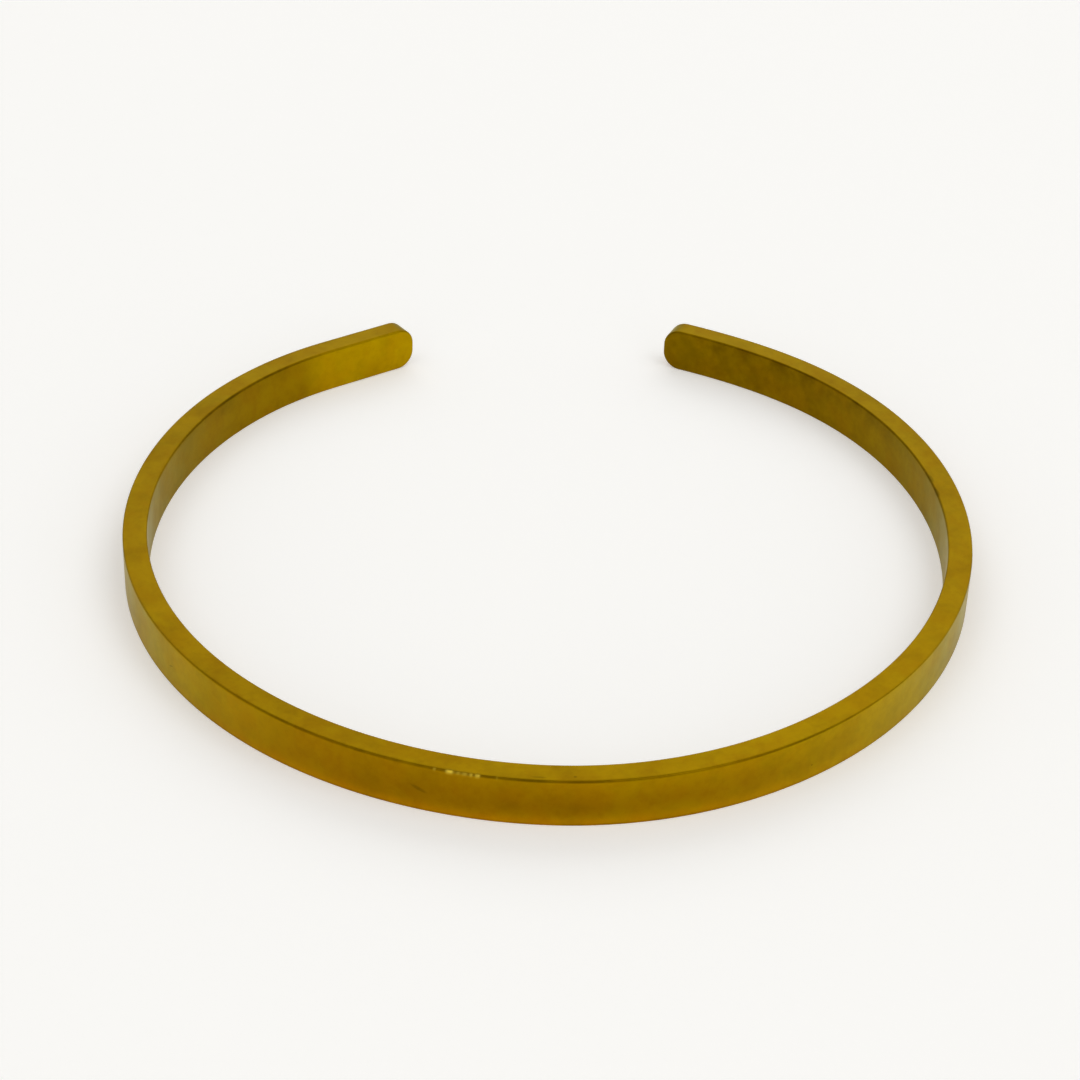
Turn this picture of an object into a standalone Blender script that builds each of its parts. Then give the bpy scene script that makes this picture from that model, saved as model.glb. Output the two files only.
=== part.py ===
"""A slim open cuff bracelet, bent from one flat metal bar and lying on its side.

Metres, +Z up. The bar stands on one of its long narrow edges. The wrist goes in along Z, and the gap
between the two ends faces +Y. The origin is under the middle of the cuff's box, on the surface that it
lies on.
"""

import math
from collections import namedtuple

import bmesh
import bpy
import numpy as np
from mathutils import Vector

# Sizes of the bar: its flat sides' width, its thickness, the rounding of its long edges, and the short
# flat left at the tip of each rounded end
BAR_WIDTH = 0.0032
BAR_THICKNESS = 0.0016
EDGE_RADIUS = 0.0002
END_FLAT = 0.0006

# Sizes of the loop: its inside diameter if it were closed and round, and the arc left open between the ends
INSIDE_DIAMETER = 0.0544
OPEN_ARC = 0.0205

# How fine the mesh is
STATION_SPACING = 0.0010
CORNER_STEPS = 8
EDGE_STEPS = 3
BEND_SAMPLES = 4000
EASED_ANGLE = math.radians(50)
SHARP_ANGLE = math.radians(40)

# Brass, satin polished
BRASS_COLOUR = (0.36, 0.23, 0.015, 1.0)
BRASS_ROUGHNESS = 0.38

# How the bar is bent by hand, from the left end round the front to the right end. "along" is a place on
# the bar as a share of its length, and "tightness" is how tight it is bent there: 0 is straight, and 1 is
# the mean radius of the loop. Between two rows the tightness changes evenly.
Bend = namedtuple("Bend", "name along tightness")
BENDS = (
    Bend("left tip", 0.00, 0.00),
    Bend("end of the flat left end", 0.04, 0.00),
    Bend("left crease", 0.05, 1.20),
    Bend("left arm", 0.17, 0.90),
    Bend("left side", 0.26, 1.00),
    Bend("front, left of the middle", 0.46, 1.00),
    Bend("front, tightest", 0.51, 1.20),
    Bend("front, right of the middle", 0.62, 0.95),
    Bend("right side", 0.80, 0.90),
    Bend("right arm", 0.92, 1.15),
    Bend("right tip", 1.00, 0.50),
)


def clear_scene():
    """Removes every object that is in the scene."""
    for thing in list(bpy.data.objects):
        bpy.data.objects.remove(thing, do_unlink=True)


def mean_radius():
    """The radius of the bar's middle line, if the loop were closed and round."""
    return (INSIDE_DIAMETER + BAR_THICKNESS) / 2


def bar_length():
    """The length of the straight bar, before it is bent."""
    return 2 * math.pi * mean_radius() - OPEN_ARC


def running_total(values, step):
    """The integral of evenly spaced values, from 0, by the trapezium rule."""
    return np.concatenate(([0.0], np.cumsum((values[1:] + values[:-1]) / 2) * step))


def bent_line():
    """The bar's middle line after bending: distance along it, points, and heading, level with X at the gap.

    The heading is the integral of the curvature, and the points are the integral of the heading. Then the
    line is turned so that a straight edge across its two ends lies along X.
    """
    length = bar_length()
    along = np.linspace(0.0, length, BEND_SAMPLES + 1)
    tightness = np.interp(
        along / length, [bend.along for bend in BENDS], [bend.tightness for bend in BENDS]
    )
    step = length / BEND_SAMPLES
    heading = running_total(tightness / mean_radius(), step)
    across_x = running_total(np.cos(heading), step)[-1]
    across_y = running_total(np.sin(heading), step)[-1]
    heading -= math.atan2(across_y, across_x)
    points = np.stack(
        (running_total(np.cos(heading), step), running_total(np.sin(heading), step)), axis=1
    )
    return along, points, heading


def end_corner_radius():
    """The rounding of an end's two corners, which leaves a short flat between them."""
    return (BAR_WIDTH - END_FLAT) / 2


def blank_stations():
    """The places along the bar where it has an edge across it, with its lower and upper height there.

    Each end's two corners are quarter circles, so the stations crowd together there.
    """
    radius = end_corner_radius()
    length = bar_length()
    corner = [
        (
            radius * (1 - math.cos(step * math.pi / 2 / CORNER_STEPS)),
            radius * (1 - math.sin(step * math.pi / 2 / CORNER_STEPS)),
        )
        for step in range(CORNER_STEPS + 1)
    ]
    straight = length - 2 * radius
    count = max(2, round(straight / STATION_SPACING))
    middle = [(radius + straight * index / count, 0.0) for index in range(1, count)]
    far_corner = [(length - along, cut) for along, cut in reversed(corner)]
    return [
        (along, cut, BAR_WIDTH - cut) for along, cut in corner + middle + far_corner
    ]


def make_blank(name):
    """The straight bar: a flat strip with round corners, thickened, with its long edges eased."""
    stations = blank_stations()
    strip = bmesh.new()
    bmesh.ops.create_grid(strip, x_segments=len(stations) - 1, y_segments=1, size=1.0)
    for vertex in strip.verts:
        column = round((vertex.co.x + 1) / 2 * (len(stations) - 1))
        along, low, high = stations[column]
        vertex.co = Vector((along, 0.0, high if vertex.co.y > 0 else low))
    bmesh.ops.recalc_face_normals(strip, faces=strip.faces)
    mesh = bpy.data.meshes.new(name)
    strip.to_mesh(mesh)
    strip.free()
    blank = bpy.data.objects.new(name, mesh)
    bpy.context.scene.collection.objects.link(blank)

    thicken = blank.modifiers.new("thickness", "SOLIDIFY")
    thicken.thickness = BAR_THICKNESS
    thicken.offset = 0.0
    ease = blank.modifiers.new("eased edges", "BEVEL")
    ease.width = EDGE_RADIUS
    ease.segments = EDGE_STEPS
    ease.limit_method = "ANGLE"
    ease.angle_limit = EASED_ANGLE
    return blank


def bend_blank(blank, name):
    """The bent bar as a mesh: each point keeps its distance along the bar and its offset from the middle."""
    depsgraph = bpy.context.evaluated_depsgraph_get()
    mesh = bpy.data.meshes.new_from_object(blank.evaluated_get(depsgraph))
    mesh.name = name
    bpy.data.objects.remove(blank, do_unlink=True)

    line_along, line, line_heading = bent_line()
    places = np.empty(len(mesh.vertices) * 3)
    mesh.vertices.foreach_get("co", places)
    along, offset, height = places.reshape(-1, 3).T
    heading = np.interp(along, line_along, line_heading)
    x = np.interp(along, line_along, line[:, 0]) + offset * np.sin(heading)
    y = np.interp(along, line_along, line[:, 1]) - offset * np.cos(heading)
    x -= (x.min() + x.max()) / 2
    y -= (y.min() + y.max()) / 2
    mesh.vertices.foreach_set("co", np.stack((x, y, height), axis=1).ravel())
    mesh.update()

    solid = bmesh.new()
    solid.from_mesh(mesh)
    bmesh.ops.recalc_face_normals(solid, faces=solid.faces)
    solid.to_mesh(mesh)
    solid.free()
    mesh.shade_smooth()
    mesh.set_sharp_from_angle(angle=SHARP_ANGLE)
    return bpy.data.objects.new(name, mesh)


def brass_material():
    """Satin polished brass."""
    material = bpy.data.materials.new("satin_brass")
    material.use_nodes = True
    shader = material.node_tree.nodes["Principled BSDF"]
    shader.inputs["Base Color"].default_value = BRASS_COLOUR
    shader.inputs["Metallic"].default_value = 1.0
    shader.inputs["Roughness"].default_value = BRASS_ROUGHNESS
    return material


def main():
    clear_scene()
    cuff = bpy.data.collections.new("cuff_bracelet")
    bpy.context.scene.collection.children.link(cuff)
    band = bend_blank(make_blank("bar_blank"), "band")
    band.data.materials.append(brass_material())
    cuff.objects.link(band)


main()
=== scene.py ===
"""The looks of a slim open cuff bracelet: one satin brass bar with round ends, bent by hand to a loop.

It lies on its side on a pale studio floor. Everything is in metres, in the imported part's own frame: +Z is
up, the gap between the two ends faces +Y, and the origin is under the middle of the cuff's box.
"""

import logging
import math
from dataclasses import dataclass, field
from enum import Enum
from typing import Any, Mapping

import bmesh
import bpy
import numpy as np
from mathutils import Matrix, Vector


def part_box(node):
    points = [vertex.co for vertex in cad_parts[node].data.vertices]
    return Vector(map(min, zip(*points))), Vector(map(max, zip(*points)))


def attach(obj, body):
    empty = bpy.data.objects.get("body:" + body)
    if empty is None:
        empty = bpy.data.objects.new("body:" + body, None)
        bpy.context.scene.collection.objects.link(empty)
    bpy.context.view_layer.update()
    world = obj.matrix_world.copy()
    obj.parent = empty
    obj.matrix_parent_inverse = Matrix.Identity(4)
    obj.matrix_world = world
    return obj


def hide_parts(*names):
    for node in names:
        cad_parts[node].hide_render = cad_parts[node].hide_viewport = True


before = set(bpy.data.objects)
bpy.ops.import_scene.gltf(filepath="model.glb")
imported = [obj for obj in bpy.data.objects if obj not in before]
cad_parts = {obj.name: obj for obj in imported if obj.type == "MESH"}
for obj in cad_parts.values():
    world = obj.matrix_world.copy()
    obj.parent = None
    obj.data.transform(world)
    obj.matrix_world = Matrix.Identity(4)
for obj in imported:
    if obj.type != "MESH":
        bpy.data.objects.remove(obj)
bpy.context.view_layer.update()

LOG = logging.getLogger("cuff_bracelet")
MM = 0.001


def linear_colour(code: str) -> tuple[float, float, float, float]:
    """Turns an sRGB hex colour to the linear values that a shader works in.

    The sRGB curve is c / 12.92 up to 0.04045, and ((c + 0.055) / 1.055)^2.4 above it.

    Args:
        code: the colour as "#RRGGBB".

    Returns:
        Red, green, blue and an alpha of 1.
    """
    shares = [int(code[start:start + 2], 16) / 255 for start in (1, 3, 5)]
    linear = [
        share / 12.92 if share <= 0.04045 else ((share + 0.055) / 1.055) ** 2.4 for share in shares
    ]
    return (*linear, 1.0)


def add_node(
    tree: bpy.types.NodeTree,
    kind: str,
    settings: Mapping[str | int, Any] | None = None,
    links: Mapping[str | int, bpy.types.NodeSocket] | None = None,
) -> bpy.types.Node:
    """Adds one node, sets it up and links what feeds it.

    Args:
        tree: the node tree that gets it.
        kind: the node's type, such as "ShaderNodeTexNoise".
        settings: the node's own settings by name, and the values of its inputs by name or number.
        links: the sockets that feed its inputs, by the input's name or number.

    Returns:
        The new node.
    """
    node = tree.nodes.new(kind)
    for name, value in (settings or {}).items():
        if isinstance(name, str) and hasattr(node, name):
            setattr(node, name, value)
        else:
            node.inputs[name].default_value = value
    for name, socket in (links or {}).items():
        tree.links.new(socket, node.inputs[name])
    return node


def running_total(values: np.ndarray, step: float) -> np.ndarray:
    """The integral of evenly spaced values, from 0, by the trapezium rule."""
    return np.concatenate(([0.0], np.cumsum((values[1:] + values[:-1]) / 2) * step))


@dataclass(frozen=True)
class Bend:
    """How tightly the bar is bent at one place, a share of its length.

    A tightness of 0 is straight, and 1 is the loop's mean radius. Between two places it changes evenly.
    """

    name: str
    along: float
    tightness: float


BENDS = (
    Bend("left tip", 0.00, 0.00),
    Bend("end of the flat left end", 0.04, 0.00),
    Bend("left crease", 0.05, 1.20),
    Bend("left arm", 0.17, 0.90),
    Bend("left side", 0.26, 1.00),
    Bend("front, left of the middle", 0.46, 1.00),
    Bend("front, tightest", 0.51, 1.20),
    Bend("front, right of the middle", 0.62, 0.95),
    Bend("right side", 0.80, 0.90),
    Bend("right arm", 0.92, 1.15),
    Bend("right tip", 1.00, 0.50),
)


@dataclass
class BentLine:
    """The bar's middle line, seen from above: the same hand bends that the CAD part has."""

    inside_diameter: float = 0.0544
    thickness: float = 0.0016
    open_arc: float = 0.0205
    samples: int = 4000

    @property
    def mean_radius(self) -> float:
        """The radius of the middle line, if the loop were closed and round."""
        return (self.inside_diameter + self.thickness) / 2

    @property
    def length(self) -> float:
        """The length of the straight bar, before it is bent."""
        return 2 * math.pi * self.mean_radius - self.open_arc

    def worked_out(self) -> tuple[np.ndarray, np.ndarray, np.ndarray]:
        """Bends the line.

        The heading is the integral of the curvature, and the points are the integral of the heading. Then
        the line is turned so that a straight edge across its two ends lies along X.

        Returns:
            The distance along the line, its points, and its heading at each.
        """
        along = np.linspace(0.0, self.length, self.samples + 1)
        step = self.length / self.samples
        tightness = np.interp(
            along / self.length, [bend.along for bend in BENDS], [bend.tightness for bend in BENDS]
        )
        heading = running_total(tightness / self.mean_radius, step)
        across_x = running_total(np.cos(heading), step)[-1]
        across_y = running_total(np.sin(heading), step)[-1]
        heading -= math.atan2(across_y, across_x)
        points = np.stack(
            (running_total(np.cos(heading), step), running_total(np.sin(heading), step)), axis=1
        )
        return along, points, heading


@dataclass(frozen=True)
class Ease:
    """How far the long edges are rubbed round at one place on the bar, a share of its length.

    The radii are in metres. The two lower edges are rubbed alike, and at the tips all four are, because
    the rounding goes on round the end there.
    """

    name: str
    along: float
    upper_outer: float
    upper_inner: float
    lower: float


EASES = (
    Ease("left tip", 0.00, 0.00014, 0.00014, 0.00014),
    Ease("behind the left tip", 0.02, 0.00014, 0.00014, 0.00014),
    Ease("left arm", 0.11, 0.00006, 0.00018, 0.00005),
    Ease("left side", 0.26, 0.00009, 0.00009, 0.00005),
    Ease("front, left of the middle", 0.40, 0.00016, 0.00005, 0.00005),
    Ease("front, right of the middle", 0.54, 0.00016, 0.00005, 0.00005),
    Ease("right side", 0.68, 0.00007, 0.00009, 0.00005),
    Ease("right side, further back", 0.80, 0.00006, 0.00016, 0.00005),
    Ease("right arm", 0.88, 0.00006, 0.00014, 0.00005),
    Ease("before the right tip", 0.98, 0.00014, 0.00014, 0.00014),
    Ease("right tip", 1.00, 0.00014, 0.00014, 0.00014),
)


class Edge(Enum):
    """The long edges that are rubbed differently: the names of their radii in an Ease."""

    UPPER_OUTER = "upper_outer"
    UPPER_INNER = "upper_inner"
    LOWER = "lower"


class Face(Enum):
    """The long sides of the bar that the hand and the light find, and the two edges between them."""

    OUTER = "outer wall"
    OUTER_EDGE = "upper outer edge"
    TOP = "narrow upper side"
    INNER_EDGE = "upper inner edge"
    INNER = "inner wall"


class WearAndLight(Enum):
    """What a place on the metal has been through, or the painted light laid on it: the names of the mesh
    attributes that hold it.
    """

    WARMED = "warmed"
    # brighter brass: rubbing, and painted highlights and reflections where light falls
    POLISH_AND_HIGHLIGHT = "polish_and_highlight"
    # a painted reflection of the floor: a redder, brighter strip low on the front wall
    REDDENED = "reddened"
    # tarnish, and painted shade: on the inner walls, along the upper edges and where the front meets the
    # floor
    TARNISH_AND_SHADE = "tarnish_and_shade"
    # pale grey: a painted reflection of the pale room on the side walls
    PAINTED_PALE_REFLECTION = "painted_pale_reflection"


@dataclass(frozen=True)
class Patch:
    """A place where the brass is brighter, duller or redder than the rest. Some are tarnish and rubbing; many
    are painted shade, painted highlights and painted reflections.

    along is the place on the bar as a share of its length, and reach the share that it spreads each way.
    height and spread are the same up the wall, as shares of the bar's width. depth is how strong it is, and
    edge how suddenly it ends: 2 is soft, and 8 is nearly a line.
    """

    name: str
    wear_and_light: WearAndLight
    face: Face
    along: float
    reach: float
    height: float
    spread: float
    depth: float
    edge: float = 2.0


PATCHES = (
    # painted highlight: the flat left end coloured brighter, for the light that falls on it
    Patch("flat left end, painted highlight", WearAndLight.POLISH_AND_HIGHLIGHT, Face.INNER, 0.015, 0.0455, 0.50, 2.00, 0.85, 14.0),
    Patch("left arm inside, dulled", WearAndLight.TARNISH_AND_SHADE, Face.INNER, 0.13, 0.07, 0.50, 2.00, 0.12),
    # painted shade: below the left arm's inner edge, and the dark reflection along that edge
    Patch("left arm inside, painted shade below its edge", WearAndLight.TARNISH_AND_SHADE, Face.INNER, 0.10, 0.05, 1.00, 0.35, 0.25),
    Patch("left arm, painted dark reflection on its inner edge", WearAndLight.TARNISH_AND_SHADE, Face.INNER_EDGE, 0.11, 0.07, 1.00, 2.00, 0.50),
    Patch("left arm, dull on top", WearAndLight.TARNISH_AND_SHADE, Face.TOP, 0.16, 0.08, 0.50, 2.00, 0.20),
    Patch("left of the front, dull on top", WearAndLight.TARNISH_AND_SHADE, Face.TOP, 0.37, 0.05, 0.50, 2.00, 0.18),
    # painted shade: the right arm's inner wall, below its inner edge, and the dark reflection along that edge
    Patch("right arm inside, painted shade", WearAndLight.TARNISH_AND_SHADE, Face.INNER, 0.98, 0.12, 0.50, 2.00, 0.54),
    Patch("right arm inside, painted shade below its edge", WearAndLight.TARNISH_AND_SHADE, Face.INNER, 0.89, 0.09, 1.00, 0.35, 0.42),
    Patch("right arm, painted dark reflection on its inner edge", WearAndLight.TARNISH_AND_SHADE, Face.INNER_EDGE, 0.91, 0.09, 1.00, 2.00, 0.30),
    Patch("right arm, dull on top", WearAndLight.TARNISH_AND_SHADE, Face.TOP, 0.87, 0.08, 0.50, 2.00, 0.12),
    Patch("front, reddened", WearAndLight.WARMED, Face.OUTER, 0.46, 0.14, 0.50, 2.00, 0.80),
    Patch("front, dulled low down", WearAndLight.TARNISH_AND_SHADE, Face.OUTER, 0.52, 0.13, 0.36, 0.24, 0.14),
    Patch("front, bright below its edge", WearAndLight.POLISH_AND_HIGHLIGHT, Face.OUTER, 0.54, 0.10, 1.00, 0.30, 0.36),
    # painted reflection of the floor: the front wall brighter low down
    Patch("front, bright low down", WearAndLight.POLISH_AND_HIGHLIGHT, Face.OUTER, 0.55, 0.08, 0.10, 0.26, 0.36),
    # painted dark reflection along the upper edges: the front's outer edge and the right side's inner edge
    Patch("front left, painted dark reflection on the outer edge", WearAndLight.TARNISH_AND_SHADE, Face.OUTER_EDGE, 0.43, 0.055, 1.00, 2.00, 0.50, 3.0),
    Patch("front, painted dark reflection on the outer edge", WearAndLight.TARNISH_AND_SHADE, Face.OUTER_EDGE, 0.55, 0.08, 1.00, 2.00, 0.62, 4.0),
    Patch("right side, painted dark reflection on the inner edge", WearAndLight.TARNISH_AND_SHADE, Face.INNER_EDGE, 0.80, 0.04, 1.00, 2.00, 0.50),
    # painted shade: a dark line where the front meets the floor
    Patch("front, painted shade where it meets the floor", WearAndLight.TARNISH_AND_SHADE, Face.OUTER, 0.48, 0.20, 0.01, 0.04, 0.40),
    # painted reflection of the floor: a brighter, redder strip along the front's lower edges
    Patch("front, lower edge, painted reflection of the floor", WearAndLight.REDDENED, Face.OUTER, 0.46, 0.13, 0.00, 0.16, 1.00),
    Patch("right of the front, lower edge, painted reflection", WearAndLight.POLISH_AND_HIGHLIGHT, Face.OUTER, 0.61, 0.08, 0.00, 0.16, 0.60),
    Patch("right of the front, brighter on top", WearAndLight.POLISH_AND_HIGHLIGHT, Face.TOP, 0.60, 0.09, 0.50, 4.00, 0.24),
    # painted reflections: the side walls coloured brighter and paler, for the pale room that they reflect
    Patch("left side, painted reflection", WearAndLight.POLISH_AND_HIGHLIGHT, Face.OUTER, 0.32, 0.06, 0.30, 2.00, 0.80),
    Patch("right side, painted reflection", WearAndLight.POLISH_AND_HIGHLIGHT, Face.OUTER, 0.66, 0.07, 0.40, 2.00, 1.00),
    Patch("left side, painted pale reflection", WearAndLight.PAINTED_PALE_REFLECTION, Face.OUTER, 0.27, 0.055, 0.60, 2.00, 0.06),
    Patch("right side, painted pale reflection", WearAndLight.PAINTED_PALE_REFLECTION, Face.OUTER, 0.72, 0.060, 0.40, 2.00, 0.12),
)


@dataclass(frozen=True)
class Nick:
    """A small dent in the upper outer edge: its place and length on the bar and its depth, in millimetres."""

    along: float
    length: float
    depth: float


NICKS = (
    Nick(70.03, 0.18, 0.020),
    Nick(70.90, 0.42, 0.070),
    Nick(71.66, 1.90, 0.010),
    Nick(71.40, 0.20, 0.016),
    Nick(71.78, 0.26, 0.020),
    Nick(72.14, 0.18, 0.032),
    Nick(72.52, 0.28, 0.050),
    Nick(73.62, 0.12, 0.010),
)


@dataclass(frozen=True)
class Mark:
    """A small mark with grime in it: a long spot in the bar's own millimetres.

    middle and size are along the bar, out from its middle line and up from the floor. tilt is in degrees,
    and depth is how strong the mark is.
    """

    name: str
    middle: tuple[float, float, float]
    size: tuple[float, float, float]
    tilt: float
    depth: float


MARKS = (
    Mark("scratch left of the front", (69.15, 0.80, 1.52), (0.70, 0.30, 0.16), -23.0, 0.36),
    Mark("short scratch by the left side", (49.70, 0.80, 1.45), (0.35, 0.30, 0.06), 25.0, 0.5),
    Mark("pit right of the front", (92.87, 0.80, 1.00), (0.10, 0.30, 0.08), 0.0, 0.5),
    Mark("smudge on the upper side", (75.97, 0.42, 3.20), (0.60, 0.12, 0.30), 0.0, 0.3),
    Mark("spot on the upper side", (78.03, 0.30, 3.20), (0.14, 0.10, 0.30), 0.0, 0.5),
    Mark("mark on the right inner edge", (126.20, -0.66, 3.12), (0.75, 0.22, 0.30), 0.0, 0.45),
    Mark("second mark on the right inner edge", (124.30, -0.70, 3.12), (0.80, 0.18, 0.30), 0.0, 0.45),
)


@dataclass(frozen=True)
class SatinBrass:
    """Brass, with a satin polish given by hand, and gone a little dull.

    A metal has no colour under its surface, so all of its colour is in the reflection. The handling that
    dulled it left soft clouds of yellow, orange and olive, 0.5 to 3 mm across, and brown tarnish that is
    patchy at 1.4 mm. A film of fine dust turns the brass pale where it is seen nearly edge-on. The polishing
    left lines along the bar about 0.02 mm apart. They are too fine to show, so they are drawn 0.12 mm apart.

    Each of cloud_layers is how many millimetres across its clouds are, the tint that they multiply the
    colour by, and the noise at which a cloud begins and at its middle.
    """

    name: str = "satin_brass"
    gold: str = "#987500"
    # brighter brass, for rubbed places and for painted highlights and reflections on the ends, the sides and
    # the front
    polish_and_highlight: str = "#B59200"
    # brown tarnish, and painted shade on the inner walls, along the upper edges and where the front meets the
    # floor
    tarnish_and_shade: str = "#644A00"
    warmed: str = "#966900"
    # redder, brighter brass, for the painted reflection of the floor low on the front wall
    reddened: str = "#BA8300"
    # pale grey, for the painted reflection of the pale room on the side walls
    painted_pale_reflection: str = "#A9A184"
    # bare brass in the nicks, coloured brighter as a painted glint
    fresh_and_glint: str = "#FFDC48"
    grime: str = "#4A3600"
    edge_tint: str = "#E7F0CB"
    roughness: float = 0.40
    dust: float = 0.20
    dust_roughness: float = 0.22
    cloud_layers: tuple[tuple[float, tuple[float, float, float], float, float], ...] = (
        (2.4, (1.01, 0.95, 1.0), 0.42, 0.62),
        (1.7, (1.04, 1.07, 1.0), 0.46, 0.66),
        (2.9, (0.91, 0.92, 1.0), 0.45, 0.66),
        (0.5, (0.93, 0.92, 1.0), 0.42, 0.66),
    )
    cloud_detail: float = 3.0
    cloud_roughness: float = 0.6
    tarnish_mm: float = 1.4
    tarnish_noise: tuple[float, float] = (0.28, 0.72)
    tarnish_share: tuple[float, float] = (0.72, 1.28)
    mark_core: float = 0.4
    gloss_cloud_mm: float = 2.4
    gloss_noise: tuple[float, float] = (0.3, 0.7)
    gloss_drift: float = 0.05
    line_mm: float = 0.12
    line_length_mm: float = 4.0
    line_depth: float = 0.000002
    line_detail: float = 2.0
    line_roughness: float = 0.5

    def made(self, place_name: str, nick_name: str) -> bpy.types.Material:
        """Makes the material, on the bar's own coordinates in millimetres.

        Args:
            place_name: the mesh attribute that holds each point's place on the straight bar.
            nick_name: the one that holds how much bare metal, with its painted glint, shows in a nick, from 0
                to 1.

        Returns:
            The material.
        """
        material = bpy.data.materials.new(self.name)
        material.use_nodes = True
        tree = material.node_tree
        shader = tree.nodes["Principled BSDF"]
        shader.inputs["Metallic"].default_value = 1.0
        shader.inputs["Specular Tint"].default_value = linear_colour(self.edge_tint)
        shader.inputs["Sheen Weight"].default_value = self.dust
        shader.inputs["Sheen Roughness"].default_value = self.dust_roughness

        place = add_node(tree, "ShaderNodeAttribute", {"attribute_name": place_name}).outputs["Vector"]
        worn_and_lit = self.worn_and_lit(tree, place)
        clouded = self.clouded(tree, place, worn_and_lit)
        marked = self.marked(tree, place, clouded)
        dent = add_node(tree, "ShaderNodeAttribute", {"attribute_name": nick_name})
        chipped = self.mixed(tree, dent.outputs["Fac"], marked, self.fresh_and_glint)
        tree.links.new(chipped, shader.inputs["Base Color"])
        self.surface(tree, place, shader)
        return material

    def mixed(
        self,
        tree: bpy.types.NodeTree,
        share: bpy.types.NodeSocket,
        under: bpy.types.NodeSocket | str,
        over: str,
    ) -> bpy.types.NodeSocket:
        """Lays one colour over another by a share.

        Args:
            tree: the material's nodes.
            share: how much of the upper colour there is at each place.
            under: the lower colour, as a socket or as "#RRGGBB".
            over: the upper colour, as "#RRGGBB".

        Returns:
            The mixed colour.
        """
        node = add_node(
            tree, "ShaderNodeMix", {"data_type": "RGBA", 7: linear_colour(over)}, {0: share}
        )
        if isinstance(under, str):
            node.inputs[6].default_value = linear_colour(under)
        else:
            tree.links.new(under, node.inputs[6])
        return node.outputs[2]

    def clouds(
        self,
        tree: bpy.types.NodeTree,
        place: bpy.types.NodeSocket,
        across_mm: float,
        low_high: tuple[float, float],
        from_to: tuple[float, float] = (0.0, 1.0),
    ) -> bpy.types.NodeSocket:
        """Soft clouds of noise on the bar.

        Args:
            tree: the material's nodes.
            place: each point's place on the straight bar, in millimetres.
            across_mm: how wide the clouds are.
            low_high: the noise at which a cloud begins, and the noise at its middle.
            from_to: what the noise is turned to, outside the clouds and in their middle.

        Returns:
            The clouds' strength at each place.
        """
        noise = add_node(
            tree,
            "ShaderNodeTexNoise",
            {
                "Scale": 1 / across_mm,
                "Detail": self.cloud_detail,
                "Roughness": self.cloud_roughness,
            },
            {"Vector": place},
        )
        strength = add_node(
            tree,
            "ShaderNodeMapRange",
            {
                "From Min": low_high[0],
                "From Max": low_high[1],
                "To Min": from_to[0],
                "To Max": from_to[1],
                "interpolation_type": "SMOOTHSTEP",
            },
            {"Value": noise.outputs["Fac"]},
        )
        return strength.outputs["Result"]

    def worn_and_lit(
        self, tree: bpy.types.NodeTree, place: bpy.types.NodeSocket
    ) -> bpy.types.NodeSocket:
        """The gold, with its large dull, red, bright and grey places from the mesh's own attributes: tarnish,
        rubbing, and painted shade, highlights and reflections.

        Args:
            tree: the material's nodes.
            place: each point's place on the straight bar, in millimetres.

        Returns:
            The colour at each place.
        """
        colour = self.gold
        patchy = self.clouds(tree, place, self.tarnish_mm, self.tarnish_noise, self.tarnish_share)
        for wear_and_light, over in (
            (WearAndLight.WARMED, self.warmed),
            (WearAndLight.POLISH_AND_HIGHLIGHT, self.polish_and_highlight),
            (WearAndLight.REDDENED, self.reddened),
            (WearAndLight.TARNISH_AND_SHADE, self.tarnish_and_shade),
            (WearAndLight.PAINTED_PALE_REFLECTION, self.painted_pale_reflection),
        ):
            depth = add_node(tree, "ShaderNodeAttribute", {"attribute_name": wear_and_light.value}).outputs["Fac"]
            if wear_and_light is WearAndLight.TARNISH_AND_SHADE:
                depth = add_node(
                    tree,
                    "ShaderNodeMath",
                    {"operation": "MULTIPLY", "use_clamp": True},
                    {0: depth, 1: patchy},
                ).outputs["Value"]
            colour = self.mixed(tree, depth, colour, over)
        return colour

    def clouded(
        self, tree: bpy.types.NodeTree, place: bpy.types.NodeSocket, colour: bpy.types.NodeSocket
    ) -> bpy.types.NodeSocket:
        """The soft clouds: each layer multiplies the colour by a tint where its noise is high.

        Args:
            tree: the material's nodes.
            place: each point's place on the straight bar, in millimetres.
            colour: the colour without the clouds.

        Returns:
            The colour with them.
        """
        for across_mm, tint, low, high in self.cloud_layers:
            share = self.clouds(tree, place, across_mm, (low, high))
            layer = add_node(
                tree,
                "ShaderNodeMix",
                {"data_type": "RGBA", "blend_type": "MULTIPLY", 7: (*tint, 1.0)},
                {0: share, 6: colour},
            )
            colour = layer.outputs[2]
        return colour

    def marked(
        self, tree: bpy.types.NodeTree, place: bpy.types.NodeSocket, colour: bpy.types.NodeSocket
    ) -> bpy.types.NodeSocket:
        """The small marks: each is a ball about its middle, squeezed to its size, that fades at its edge.

        Args:
            tree: the material's nodes.
            place: each point's place on the straight bar, in millimetres.
            colour: the colour without the marks.

        Returns:
            The colour with them.
        """
        for mark in MARKS:
            ball = add_node(
                tree,
                "ShaderNodeMapping",
                {
                    "vector_type": "TEXTURE",
                    "Location": mark.middle,
                    "Rotation": (0.0, -math.radians(mark.tilt), 0.0),
                    "Scale": mark.size,
                },
                {"Vector": place},
            )
            far = add_node(
                tree, "ShaderNodeVectorMath", {"operation": "LENGTH"}, {0: ball.outputs["Vector"]}
            )
            share = add_node(
                tree,
                "ShaderNodeMapRange",
                {
                    "From Min": 1.0,
                    "From Max": self.mark_core,
                    "To Max": mark.depth,
                    "interpolation_type": "SMOOTHSTEP",
                },
                {"Value": far.outputs["Value"]},
            )
            colour = self.mixed(tree, share.outputs["Result"], colour, self.grime)
        return colour

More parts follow.
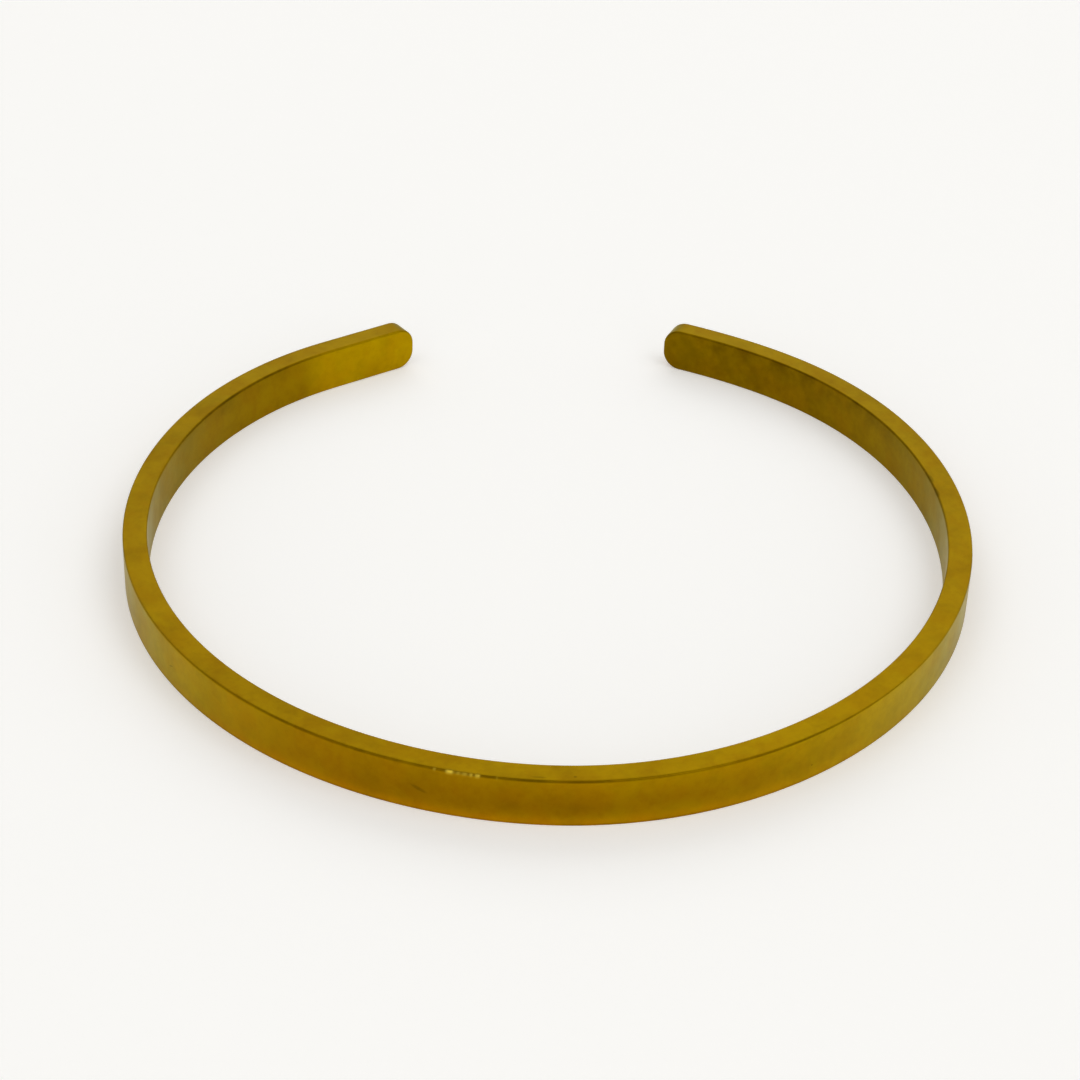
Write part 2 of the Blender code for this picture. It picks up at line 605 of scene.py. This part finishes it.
    def surface(
        self, tree: bpy.types.NodeTree, place: bpy.types.NodeSocket, shader: bpy.types.Node
    ) -> None:
        """The satin: fine lines along the bar, as small heights, and a gloss that drifts in soft clouds.

        Args:
            tree: the material's nodes.
            place: each point's place on the straight bar, in millimetres.
            shader: the metal's shader.
        """
        stretch = add_node(
            tree,
            "ShaderNodeMapping",
            {
                "vector_type": "POINT",
                "Scale": (1 / self.line_length_mm, 1 / self.line_mm, 1 / self.line_mm),
            },
            {"Vector": place},
        )
        lines = add_node(
            tree,
            "ShaderNodeTexNoise",
            {"Scale": 1.0, "Detail": self.line_detail, "Roughness": self.line_roughness},
            {"Vector": stretch.outputs["Vector"]},
        )
        bump = add_node(
            tree,
            "ShaderNodeBump",
            {"Strength": 1.0, "Distance": self.line_depth},
            {"Height": lines.outputs["Fac"]},
        )
        tree.links.new(bump.outputs["Normal"], shader.inputs["Normal"])
        drift = add_node(
            tree,
            "ShaderNodeTexNoise",
            {
                "Scale": 1 / self.gloss_cloud_mm,
                "Detail": self.cloud_detail,
                "Roughness": self.cloud_roughness,
            },
            {"Vector": place},
        )
        gloss = add_node(
            tree,
            "ShaderNodeMapRange",
            {
                "From Min": self.gloss_noise[0],
                "From Max": self.gloss_noise[1],
                "To Min": self.roughness - self.gloss_drift,
                "To Max": self.roughness + self.gloss_drift,
            },
            {"Value": drift.outputs["Fac"]},
        )
        tree.links.new(gloss.outputs["Result"], shader.inputs["Roughness"])


@dataclass
class Band:
    """The whole cuff: one flat bar with round ends and eased edges, bent to an open loop.

    end_flat is the short flat between an end's two round corners. spacing is how far apart the rings of
    points are along the bar, and nick_spacing how far by the nicks, from nick_margin before the first to
    nick_margin past the last. nick_reach is how far a nick goes from the sharp corner, and nick_brightness
    how soon its bare metal, coloured brighter as a painted glint, shows. end_rows are the rings on an end,
    and the steps are the quads across each side and edge. Points closer than weld are made one. All the
    lengths are in metres.
    """

    line: BentLine = field(default_factory=BentLine)
    finish: SatinBrass = field(default_factory=SatinBrass)
    end_flat: float = 0.0006
    spacing: float = 0.00032
    nick_spacing: float = 0.00004
    nick_margin: float = 0.0004
    nick_reach: float = 0.00011
    nick_brightness: float = 1.3
    end_rows: int = 22
    wall_steps: int = 22
    top_steps: int = 10
    edge_steps: int = 5
    weld: float = 1e-7
    place_name: str = "bar_place"
    nick_name: str = "nick"
    low: Vector = field(init=False)
    width: float = field(init=False)

    def __post_init__(self) -> None:
        """Reads the box's lowest corner and the bar's width from the frame."""
        self.low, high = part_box("band")
        self.width = high.z - self.low.z

    @property
    def end_radius(self) -> float:
        """The rounding of an end's two corners, which leaves a short flat between them."""
        return (self.width - self.end_flat) / 2

    def edge_radius(self, edge: Edge, along: np.ndarray) -> np.ndarray:
        """The rounding of one long edge at each distance along the bar."""
        return np.interp(
            along / self.line.length,
            [ease.along for ease in EASES],
            [getattr(ease, edge.value) for ease in EASES],
        )

    def stations(self) -> np.ndarray:
        """The places along the bar that have a ring of points: even, but crowded on the ends and the nicks.

        On an end they are R(1 - cos t) for even steps of t, which is where a quarter circle needs them.

        Returns:
            The distances along the bar, from the left tip.
        """
        turn = np.linspace(0.0, math.pi / 2, self.end_rows + 1)
        end = self.end_radius * (1 - np.cos(turn))
        length = self.line.length
        count = round((length - 2 * self.end_radius) / self.spacing)
        middle = np.linspace(self.end_radius, length - self.end_radius, count + 1)[1:-1]
        first = NICKS[0].along * MM - self.nick_margin
        last = NICKS[-1].along * MM + self.nick_margin
        dents = np.arange(first, last, self.nick_spacing)
        clear = middle[(middle < first - self.nick_spacing) | (middle > last + self.nick_spacing)]
        return np.sort(np.concatenate((end, clear, dents, length - end)))

    def half_height(self, from_end: np.ndarray, inset: np.ndarray) -> np.ndarray:
        """Half the bar's height inside its outline.

        The outline is a rectangle with corners of radius R, and an inset of d leaves corners of R - d about
        the same centres. At a distance e from the tip the half height is W/2 - R + sqrt((R-d)^2 - (R-e)^2).

        Args:
            from_end: the distance from the nearest tip.
            inset: how far inside the outline.

        Returns:
            The half height at each place.
        """
        radius = self.end_radius
        short = np.maximum(radius - from_end, 0.0)
        return self.width / 2 - radius + np.sqrt(np.maximum((radius - inset) ** 2 - short**2, 0.0))

    def eased(self, edge: Edge, along: np.ndarray) -> np.ndarray:
        """One eased edge at every station, from its wall to the narrow side.

        It is a quarter circle of radius r. At its angle t it is r(1 - sin t) inside the outline and reaches
        r(1 - cos t) short of the wall. Within r of a tip only the angles whose inset is less than the
        distance from the tip are left, so the walls close in there as the edge of the end face.

        Args:
            edge: the edge.
            along: the stations.

        Returns:
            A row for a station and a column for a point, with the distances from the bar's middle line
            towards the wall and towards the narrow side.
        """
        radius = self.edge_radius(edge, along)[:, None]
        from_end = np.minimum(along, self.line.length - along)[:, None]
        first = np.arcsin(np.clip(1 - from_end / radius, 0.0, 1.0))
        step = np.linspace(0.0, 1.0, self.edge_steps + 1)[None, :]
        turn = first + (math.pi / 2 - first) * step
        to_wall = self.line.thickness / 2 - radius + radius * np.cos(turn)
        to_side = self.half_height(from_end, radius * (1 - np.sin(turn)))
        return np.stack((to_wall, to_side), axis=-1)

    def rings(self, along: np.ndarray) -> tuple[np.ndarray, np.ndarray]:
        """The bar's cross-section at every station, as offset from the middle line and height.

        The four eased edges are placed by the signs of their offset and height, and the flat sides between
        them are straight lines from the end of one edge to the start of the next.

        Args:
            along: the stations.

        Returns:
            The offsets and the heights, each with a row for a station and a column for a point of the ring.
        """
        lower = self.eased(Edge.LOWER, along)
        edges = (
            self.eased(Edge.UPPER_OUTER, along),
            self.eased(Edge.UPPER_INNER, along)[:, ::-1] * (-1, 1),
            lower * (-1, -1),
            lower[:, ::-1] * (1, -1),
        )
        parts = []
        for number, edge in enumerate(edges):
            steps = self.top_steps if number % 2 else self.wall_steps
            share = np.linspace(0.0, 1.0, steps + 1)[None, 1:-1, None]
            before = edges[number - 1][:, -1:]
            parts += [before + (edge[:, :1] - before) * share, edge]
        ring = np.concatenate(parts, axis=1)
        return ring[..., 0], ring[..., 1] + self.width / 2

    def nicked(
        self, along: np.ndarray, offset: np.ndarray, height: np.ndarray
    ) -> tuple[np.ndarray, np.ndarray, np.ndarray]:
        """Presses the nicks into the upper outer edge.

        A nick is as strong as exp(-|a/A|^4 - (c/C)^2), where a is the distance from its middle along the
        bar, A half its length, c the distance from the sharp corner that the edge was eased from, and C
        the reach. A point moves by that times the nick's depth, in from the corner at 45 degrees. The
        deeper it goes, the more of the bare metal shows, coloured brighter as a painted glint.

        Args:
            along: each point's distance along the bar.
            offset: its offset from the middle line.
            height: its height over the floor.

        Returns:
            The new offsets and heights, and how much bare metal, with its painted glint, shows at each point,
            from 0 to 1.
        """
        from_corner = np.hypot(offset - self.line.thickness / 2, height - self.width) / self.nick_reach
        deepest = max(nick.depth for nick in NICKS)
        depth = np.zeros(offset.shape)
        for nick in NICKS:
            far = (along / MM - nick.along) / (nick.length / 2)
            depth += nick.depth * np.exp(-(far**4) - from_corner**2)
        step = depth * MM / math.sqrt(2)
        return offset - step, height - step, np.minimum(depth / deepest * self.nick_brightness, 1.0)

    def bent(self, along: np.ndarray, offset: np.ndarray, height: np.ndarray) -> np.ndarray:
        """Carries points of the straight bar to the bent one.

        A point keeps its distance along the bar and its height, and stands off the middle line by its
        offset, outwards and square to the heading.

        Args:
            along: the distance along the bar of each point.
            offset: the distance outwards from the middle line.
            height: the height over the floor.

        Returns:
            The points' places, one row each.
        """
        line_along, line, heading = self.line.worked_out()
        turn = np.interp(along, line_along, heading)
        x = np.interp(along, line_along, line[:, 0]) + offset * np.sin(turn)
        y = np.interp(along, line_along, line[:, 1]) - offset * np.cos(turn)
        x += self.low.x - x.min()
        y += self.low.y - y.min()
        return np.stack((x, y, height), axis=-1).reshape(-1, 3)

    def on_face(
        self, face: Face, along: np.ndarray, offset: np.ndarray, height: np.ndarray
    ) -> np.ndarray:
        """How far a point is on one face: 1 on it, 0 on the others, and in between where two meet.

        A side's share falls from 1 on it to 0 where its eased edge ends. An edge's share is twice the
        product of its two sides' shares, so it is greatest in the middle of the edge.

        Args:
            face: the side or edge.
            along: each point's distance along the bar.
            offset: its offset from the middle line.
            height: its height over the floor.

        Returns:
            The share at each point.
        """
        inside = face in (Face.INNER, Face.INNER_EDGE)
        radius = self.edge_radius(Edge.UPPER_INNER if inside else Edge.UPPER_OUTER, along)
        outwards = -1.0 if inside else 1.0
        on_wall = np.clip(1 - (self.line.thickness / 2 - outwards * offset) / radius, 0.0, 1.0)
        on_top = np.clip(1 - (self.width - height) / radius, 0.0, 1.0)
        if face is Face.TOP:
            return on_top
        if face in (Face.OUTER, Face.INNER):
            return on_wall
        return np.minimum(2 * on_wall * on_top, 1.0)

    def worn_and_lit(self, wear_and_light: WearAndLight, along: np.ndarray, offset: np.ndarray, height: np.ndarray) -> np.ndarray:
        """How strongly each point takes one kind of tarnish, rubbing or painted light.

        A patch falls off from its middle as exp(-|a/A|^p - |h/H|^p), where a and h are the distances from
        its middle along the bar and up it, A and H its reach and spread, and p its edge. Patches add up, to
        1 at most.

        Args:
            wear_and_light: what happened to the metal, or the painted shade, highlight or reflection laid on
                it.
            along: each point's distance along the bar.
            offset: its offset from the middle line.
            height: its height over the floor.

        Returns:
            The strength at each point, from 0 to 1.
        """
        total = np.zeros(offset.shape)
        for patch in PATCHES:
            if patch.wear_and_light is wear_and_light:
                far = (along / self.line.length - patch.along) / patch.reach
                high = (height / self.width - patch.height) / patch.spread
                near = patch.depth * np.exp(-(np.abs(far) ** patch.edge) - np.abs(high) ** patch.edge)
                total += near * self.on_face(patch.face, along, offset, height)
        return np.minimum(total, 1.0).astype(np.float32)

    def build(self) -> bpy.types.Object:
        """Makes the band's mesh: rings carried along the bent line, joined by quads, and closed at each tip.

        Returns:
            The band, not yet in the scene.
        """
        stations = self.stations()
        offset, height = self.rings(stations)
        along = np.broadcast_to(stations[:, None], offset.shape)
        worn_offset, worn_height, nicks = self.nicked(along, offset, height)
        points = self.bent(along, worn_offset, worn_height)
        rows, columns = offset.shape

        ring = np.arange(columns)
        row = np.arange(rows - 1)[:, None] * columns
        quads = np.stack(
            (row + ring, row + columns + ring, row + columns + np.roll(ring, -1), row + np.roll(ring, -1)),
            axis=-1,
        ).reshape(-1, 4)
        tips = [ring.tolist(), (ring[::-1] + (rows - 1) * columns).tolist()]

        mesh = bpy.data.meshes.new("cuff_band")
        mesh.from_pydata(points, [], quads.tolist() + tips)
        place = mesh.attributes.new(self.place_name, "FLOAT_VECTOR", "POINT")
        straight = np.stack((along, offset, height), axis=-1) / MM
        place.data.foreach_set("vector", straight.astype(np.float32).ravel())
        for wear_and_light in WearAndLight:
            worn_and_lit = mesh.attributes.new(wear_and_light.value, "FLOAT", "POINT")
            worn_and_lit.data.foreach_set("value", self.worn_and_lit(wear_and_light, along, offset, height).ravel())
        dents = mesh.attributes.new(self.nick_name, "FLOAT", "POINT")
        dents.data.foreach_set("value", nicks.astype(np.float32).ravel())

        solid = bmesh.new()
        solid.from_mesh(mesh)
        bmesh.ops.remove_doubles(solid, verts=solid.verts, dist=self.weld)
        bmesh.ops.recalc_face_normals(solid, faces=solid.faces)
        solid.to_mesh(mesh)
        solid.free()
        mesh.shade_smooth()
        return bpy.data.objects.new("cuff_band", mesh)

    def dress(self, band: bpy.types.Object) -> None:
        """Gives the band its brass."""
        band.data.materials.append(self.finish.made(self.place_name, self.nick_name))

    def place(self) -> bpy.types.Object:
        """Builds and dresses the band, and puts it in the place of the CAD's solid.

        Returns:
            The band.
        """
        band = self.build()
        self.dress(band)
        bpy.context.scene.collection.objects.link(band)
        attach(band, "root")
        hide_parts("band")
        return band


@dataclass(frozen=True)
class Softbox:
    """A flat cloth with a lamp behind it, aimed at the cuff.

    azimuth is 0 behind the cuff and grows towards +X, in degrees, as elevation is. wide, high and distance
    are in metres, and strength is the light that it brings to a surface that faces it.
    """

    name: str
    azimuth: float
    elevation: float
    wide: float
    high: float
    distance: float
    strength: float

    def place(self) -> None:
        """Hangs the softbox: its power is pi D^2 times its strength, for a distance of D."""
        turn, rise = math.radians(self.azimuth), math.radians(self.elevation)
        away = Vector((math.sin(turn) * math.cos(rise), math.cos(turn) * math.cos(rise), math.sin(rise)))
        data = bpy.data.lights.new(self.name, "AREA")
        data.shape = "RECTANGLE"
        data.size = self.wide
        data.size_y = self.high
        data.energy = math.pi * self.distance**2 * self.strength
        lamp = bpy.data.objects.new(self.name, data)
        aim = away.to_track_quat("Z", "Y").to_matrix().to_4x4()
        lamp.matrix_world = Matrix.Translation(away * self.distance) @ aim
        bpy.context.scene.collection.objects.link(lamp)


SOFTBOXES = (
    Softbox("back_softbox", 6.0, 37.0, 1.8, 0.9, 1.5, 0.70),
    Softbox("right_high_softbox", 120.0, 60.0, 1.0, 1.0, 1.5, 0.52),
    Softbox("left_high_softbox", 240.0, 60.0, 1.0, 1.0, 1.5, 0.30),
    Softbox("front_right_softbox", 150.0, 15.0, 1.0, 1.0, 1.5, 0.22),
    Softbox("front_left_softbox", 205.0, 15.0, 1.0, 1.0, 1.5, 0.22),
)


@dataclass
class Studio:
    """A pale floor under plain soft light."""

    floor_reach: float = 4.0
    floor_colour: str = "#F7F6F3"
    floor_roughness: float = 0.9
    floor_glow: float = 0.30
    sky_strength: float = 0.35
    horizon_strength: float = 0.70
    horizon_height: float = 0.60

    def build_floor(self) -> bpy.types.Object:
        """A flat square floor at the height that the cuff lies on.

        Returns:
            The floor.
        """
        reach = self.floor_reach
        corners = [(-reach, -reach, 0.0), (reach, -reach, 0.0), (reach, reach, 0.0), (-reach, reach, 0.0)]
        mesh = bpy.data.meshes.new("floor")
        mesh.from_pydata(corners, [], [(0, 1, 2, 3)])
        floor = bpy.data.objects.new("floor", mesh)
        bpy.context.scene.collection.objects.link(floor)
        return floor

    def dress_floor(self, floor: bpy.types.Object) -> None:
        """Frosted white acrylic, lit a little from below, so that the cuff's shadow stays soft and pale.

        Its surface is sanded, so it has no gloss to speak of.

        Args:
            floor: the floor.
        """
        material = bpy.data.materials.new("frosted_white_acrylic")
        material.use_nodes = True
        shader = material.node_tree.nodes["Principled BSDF"]
        shader.inputs["Base Color"].default_value = linear_colour(self.floor_colour)
        shader.inputs["Roughness"].default_value = self.floor_roughness
        shader.inputs["Specular IOR Level"].default_value = 0.0
        shader.inputs["Emission Color"].default_value = linear_colour(self.floor_colour)
        shader.inputs["Emission Strength"].default_value = self.floor_glow
        floor.data.materials.append(material)

    def build_world(self) -> None:
        """A white room that is brighter low down all round than overhead, as pale walls make it."""
        world = bpy.data.worlds.new("studio")
        world.use_nodes = True
        tree = world.node_tree
        away = add_node(tree, "ShaderNodeTexCoord").outputs["Generated"]
        parts = add_node(tree, "ShaderNodeSeparateXYZ", links={"Vector": away})
        strength = add_node(
            tree,
            "ShaderNodeMapRange",
            {
                "interpolation_type": "SMOOTHSTEP",
                "From Min": 0.0,
                "From Max": self.horizon_height,
                "To Min": self.horizon_strength,
                "To Max": self.sky_strength,
            },
            {"Value": parts.outputs["Z"]},
        )
        background = tree.nodes["Background"]
        background.inputs["Color"].default_value = (1.0, 1.0, 1.0, 1.0)
        tree.links.new(strength.outputs["Result"], background.inputs["Strength"])
        bpy.context.scene.world = world

    def place(self) -> None:
        """Sets up the floor and the light."""
        self.dress_floor(self.build_floor())
        self.build_world()
        for softbox in SOFTBOXES:
            softbox.place()


@dataclass
class PhotoCamera:
    """The camera at the photograph's angle to the cuff.

    azimuth is 0 in front of the cuff and grows towards +X, and roll is how far the camera leans.
    """

    azimuth: float = math.radians(-4.097)
    elevation: float = math.radians(32.417)
    roll: float = math.radians(2.2075)
    distance: float = 0.175862
    target: tuple[float, float, float] = (-0.000643, -0.0000926, 0.0016)
    lens_mm: float = 87.92
    sensor_mm: float = 36.0
    nearest: float = 0.005

    def place(self) -> bpy.types.Object:
        """Sets the camera off from its target along its azimuth and elevation, and rolls it.

        Returns:
            The camera.
        """
        back = Vector((
            math.sin(self.azimuth) * math.cos(self.elevation),
            -math.cos(self.azimuth) * math.cos(self.elevation),
            math.sin(self.elevation),
        ))
        right = (-back).cross(Vector((0.0, 0.0, 1.0))).normalized()
        up = right.cross(-back)
        across = right * math.cos(self.roll) + up * math.sin(self.roll)
        upright = up * math.cos(self.roll) - right * math.sin(self.roll)
        turn = Matrix((across, upright, back)).transposed().to_4x4()

        data = bpy.data.cameras.new("photo_camera")
        data.lens = self.lens_mm
        data.sensor_width = self.sensor_mm
        data.clip_start = self.nearest
        camera = bpy.data.objects.new("photo_camera", data)
        camera.matrix_world = Matrix.Translation(Vector(self.target) + back * self.distance) @ turn
        bpy.context.scene.collection.objects.link(camera)
        bpy.context.scene.camera = camera
        return camera


def main() -> None:
    """Builds the cuff, the studio and the camera."""
    logging.basicConfig(level=logging.INFO, format="%(name)s: %(message)s")
    bpy.context.scene.view_settings.view_transform = "Standard"
    camera = PhotoCamera().place()
    LOG.info("camera: %.1f mm lens", camera.data.lens)
    band = Band().place()
    LOG.info("band: %d points, %d faces", len(band.data.vertices), len(band.data.polygons))
    Studio().place()
    LOG.info("studio: a floor and %d softboxes", len(SOFTBOXES))


if __name__ == "__main__":
    main()
